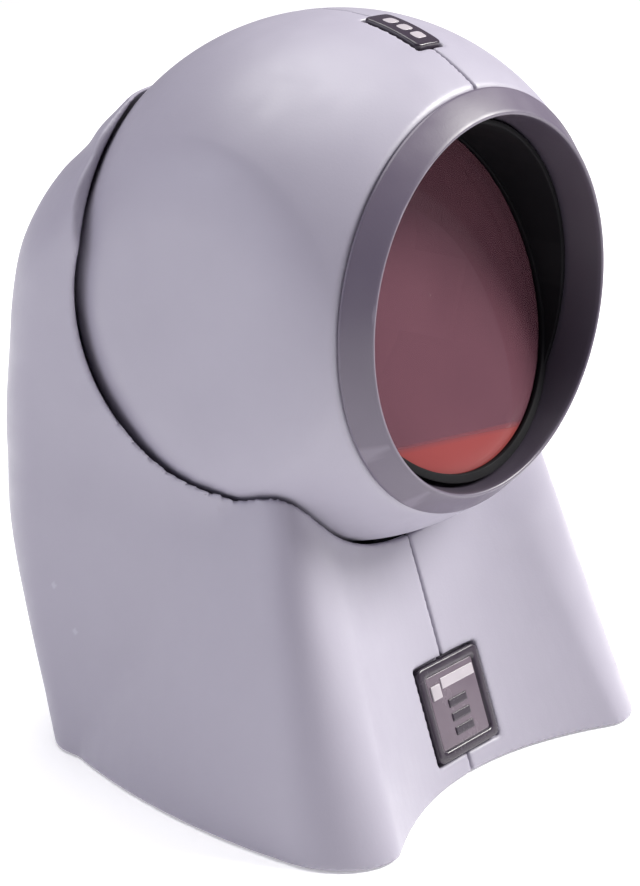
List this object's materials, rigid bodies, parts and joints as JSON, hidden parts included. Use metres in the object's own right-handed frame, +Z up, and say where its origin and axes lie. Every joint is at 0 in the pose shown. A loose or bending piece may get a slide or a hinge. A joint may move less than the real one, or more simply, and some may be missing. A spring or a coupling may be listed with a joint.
{
  "type": "presentation barcode scanner",
  "caption": "Hands-free counter scanner: ball-shaped scan head with a round recessed window, tilting in a two-piece moulded stand.",
  "frame": {"origin": "on the counter under the middle of the stand's bounding box, at the bottom of the rubber feet", "axes": "+Z up, -Y towards the customer side that the window faces, +X to the right of someone looking at the window"},
  "size_m": [0.1066, 0.1043, 0.1504],
  "materials": {
    "shell_plastic": "fine-textured pale warm grey moulded plastic",
    "trim_plastic": "satin grey moulded plastic",
    "black_plastic": "matt black moulded plastic",
    "red_window": "polished red acrylic",
    "smoked_plastic": "gloss smoked plastic",
    "rubber": "black rubber",
    "steel": "plain steel",
    "zinc": "zinc-plated steel",
    "alloy": "plain aluminium alloy",
    "mirror": "front-silvered mirror",
    "circuit_board": "green solder mask on glass-fibre board",
    "copper": "copper winding and brass barrel",
    "led_red": "clear tinted lamp",
    "led_green": "clear tinted lamp"
  },
  "bodies": {
    "stand": {"stand_left_shell": "shell_plastic", "stand_right_shell": "shell_plastic", "foot_front_left": "rubber", "foot_front_right": "rubber", "foot_rear_left": "rubber", "foot_rear_right": "rubber", "base_screw_front_left": "zinc", "base_screw_front_right": "zinc", "base_screw_rear_left": "zinc", "base_screw_rear_right": "zinc", "base_plate": "black_plastic", "ballast_weight": "steel", "pedestal": "black_plastic", "friction_pad": "rubber", "clamp_shoe": "black_plastic", "clamp_screw": "zinc", "clamp_nut": "zinc", "clamp_spring": "steel", "cable_jack": "black_plastic", "jack_board": "circuit_board", "inner_harness": "black_plastic", "front_badge": "smoked_plastic"},
    "head": {"head_left_shell": "shell_plastic", "head_right_shell": "shell_plastic", "bezel_ring": "trim_plastic", "inner_hood": "black_plastic", "optical_chassis": "black_plastic", "beeper": "black_plastic", "window_pane": "red_window", "indicator_lens": "smoked_plastic", "window_gasket": "rubber", "head_screw_upper_left": "zinc", "head_screw_upper_right": "zinc", "head_screw_lower_left": "zinc", "head_screw_lower_right": "zinc", "motor_base": "zinc", "heat_sink": "alloy", "pattern_mirror_1": "mirror", "pattern_mirror_2": "mirror", "pattern_mirror_3": "mirror", "pattern_mirror_4": "mirror", "pattern_mirror_5": "mirror", "collector_mirror": "mirror", "led_board": "circuit_board", "main_board": "circuit_board", "laser_module": "copper", "motor_coil": "copper", "led_front": "led_red", "led_rear": "led_red", "led_middle": "led_green"},
    "rotor": {"polygon_wheel": "mirror", "magnet_ring": "steel", "rotor_shaft": "zinc"}
  },
  "joints": [
    {"name": "head_tilt", "type": "hinge", "parent": "stand", "child": "head", "pos_m": [0, -0.0068, 0.098], "axis": [1, 0, 0], "range_deg": [-20, 10], "deforming": ["inner_harness"]},
    {"name": "polygon_spin", "type": "hinge", "parent": "head", "child": "rotor", "pos_m": [0, -0.0068, 0.098], "axis": [0, -1, 0], "continuous": true}
  ]
}
